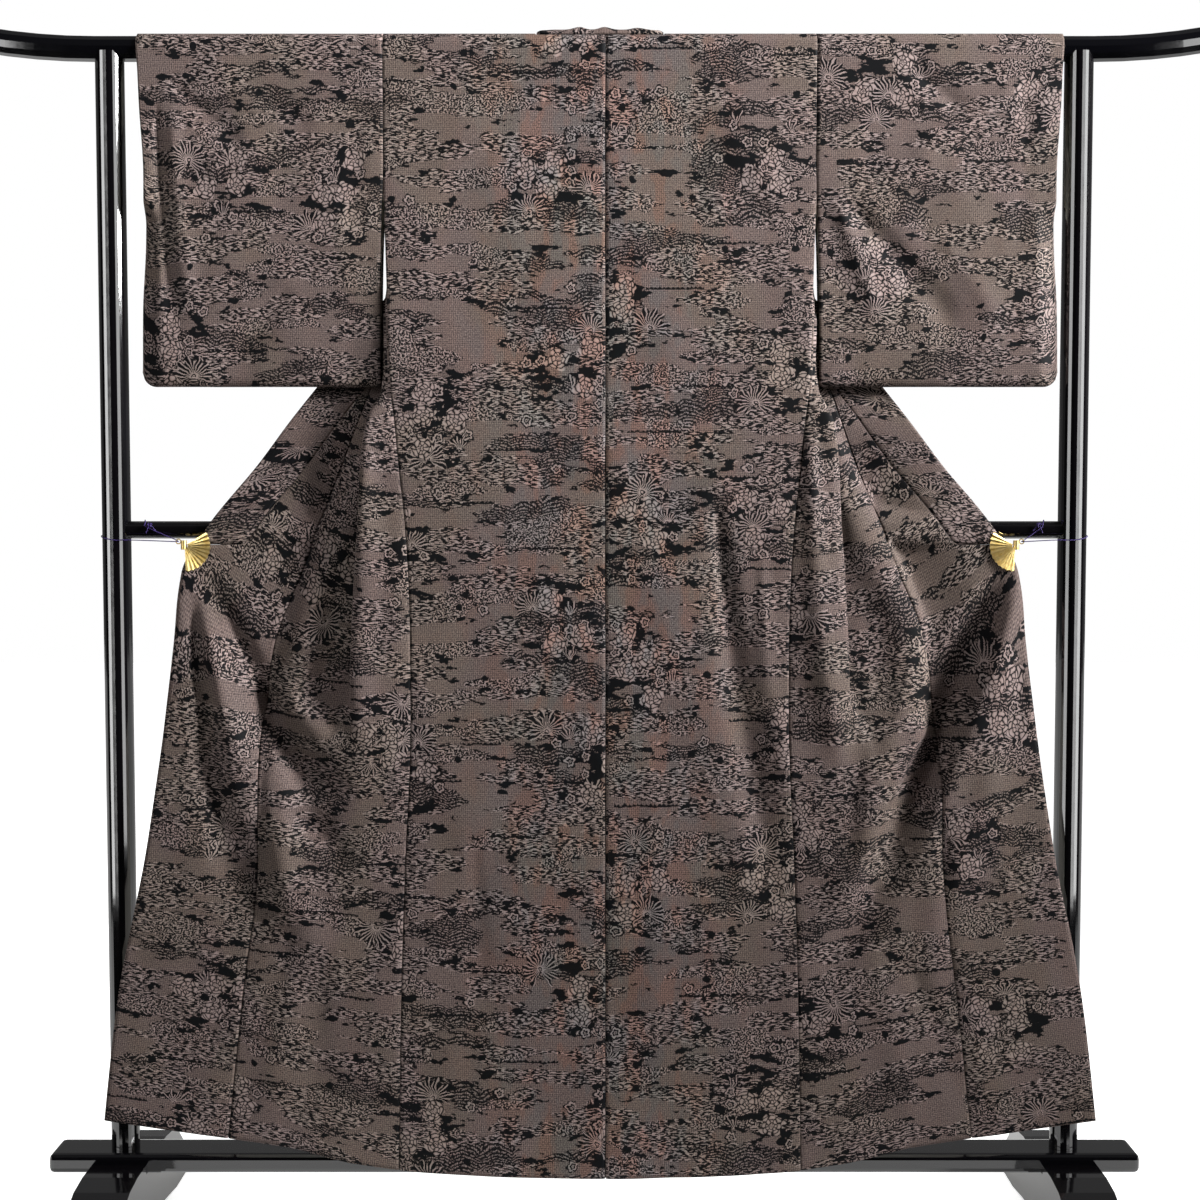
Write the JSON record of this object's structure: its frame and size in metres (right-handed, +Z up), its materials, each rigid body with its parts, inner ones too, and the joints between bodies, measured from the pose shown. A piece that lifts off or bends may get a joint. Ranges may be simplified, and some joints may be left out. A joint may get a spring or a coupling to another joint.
{
  "type": "kimono on a display stand",
  "caption": "Full-length lined silk kimono hung by its sleeves on a black lacquered display stand, its fronts drawn outward by folding-fan clips.",
  "frame": {"origin": "on the floor, at the middle between the two feet", "axes": "+X along the top rail, towards the viewer's right when the garment's back is faced; +Y away from that viewer, from the garment's back to its fronts; +Z up"},
  "size_m": [1.8006, 0.4, 1.7191],
  "materials": {
    "lacquer": "black gloss lacquer",
    "silk": "patterned silk, ivory lining inside",
    "gilt": "polished gilt",
    "cord": "twisted purple cord"
  },
  "bodies": {
    "root": {"rail": "lacquer", "post_left": "lacquer", "post_right": "lacquer", "crossbar": "lacquer", "base_board": "lacquer", "foot_left": "lacquer", "foot_right": "lacquer", "body_left": "silk", "body_right": "silk", "okumi_left": "silk", "okumi_right": "silk", "collar": "silk", "sleeve_left": "silk", "sleeve_right": "silk", "clip_left": "gilt", "clip_right": "gilt", "cord_left": "cord", "cord_right": "cord"}
  },
  "joints": []
}
